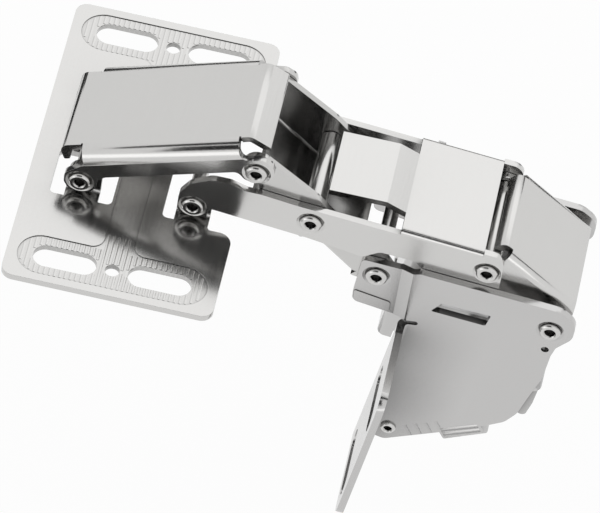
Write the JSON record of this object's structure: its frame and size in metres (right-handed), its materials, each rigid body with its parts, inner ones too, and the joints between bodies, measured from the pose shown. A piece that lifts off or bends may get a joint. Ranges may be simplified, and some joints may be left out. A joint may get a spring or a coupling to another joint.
{
  "type": "surface-mounted multi-link spring hinge",
  "caption": "Surface-mounted hinge for a cabinet door, with a linkage of folded steel links between a slotted case plate and a winged door bracket.",
  "frame": {"origin": "centre of the case plate's four screw slots, on the face that meets the cabinet side", "axes": "+X out along the arm towards the door bracket, +Y along the pivots, +Z off the board that the case plate is fixed to; at rest the hinge is fully open"},
  "size_m": [0.0914, 0.06, 0.0638],
  "materials": {
    "plate_steel": "bright nickel-plated sheet steel",
    "link_steel": "bright nickel-plated sheet steel",
    "bracket_steel": "bright nickel-plated sheet steel",
    "rivet_steel": "nickel-plated rolled rivets",
    "spring_wire": "oiled spring wire"
  },
  "bodies": {
    "plate": {"mounting_plate": "plate_steel", "cover_foot_axle": "rivet_steel", "arm_foot_axle": "rivet_steel"},
    "cover": {"cover_link": "link_steel", "cover_head_near_rivet": "rivet_steel", "cover_head_far_rivet": "rivet_steel"},
    "arm": {"long_arm": "link_steel", "arm_middle_axle": "rivet_steel", "arm_middle_sleeve": "rivet_steel", "arm_end_axle": "rivet_steel", "arm_end_sleeve": "rivet_steel"},
    "inner": {"inner_link": "link_steel"},
    "end": {"end_link": "link_steel"},
    "bracket": {"bracket": "bracket_steel", "bracket_front_axle": "rivet_steel", "bracket_back_axle": "rivet_steel", "bracket_back_sleeve": "rivet_steel", "bracket_back_near_washer": "rivet_steel", "bracket_back_far_washer": "rivet_steel", "spring_pin": "rivet_steel", "closing_spring": "spring_wire"}
  },
  "joints": [
    {"name": "arm_swing", "type": "hinge", "parent": "plate", "child": "arm", "pos_m": [0.00996, 0, 0.00415], "axis": [0, -1, 0], "range_deg": [0, 97]},
    {"name": "cover_swing", "type": "hinge", "parent": "plate", "child": "cover", "pos_m": [-0.00862, 0, 0.00415], "axis": [0, -1, 0], "range_deg": [0, 60]},
    {"name": "inner_swing", "type": "hinge", "parent": "arm", "child": "inner", "pos_m": [0.02912, 0, 0.00621], "axis": [0, -1, 0], "range_deg": [-102, 0]},
    {"name": "end_swing", "type": "hinge", "parent": "arm", "child": "end", "pos_m": [0.05835, 0, 0.00352], "axis": [0, -1, 0], "range_deg": [-102, 0]},
    {"name": "bracket_swing", "type": "hinge", "parent": "inner", "child": "bracket", "pos_m": [0.0411, 0, -0.00306], "axis": [0, -1, 0], "range_deg": [0, 102]}
  ],
  "couplings": [
    {"joint": "cover_swing", "follows": "arm_swing", "ratio": 0.61},
    {"joint": "inner_swing", "follows": "arm_swing", "ratio": -1.045},
    {"joint": "end_swing", "follows": "arm_swing", "ratio": -1.045},
    {"joint": "bracket_swing", "follows": "arm_swing", "ratio": 1.045}
  ]
}
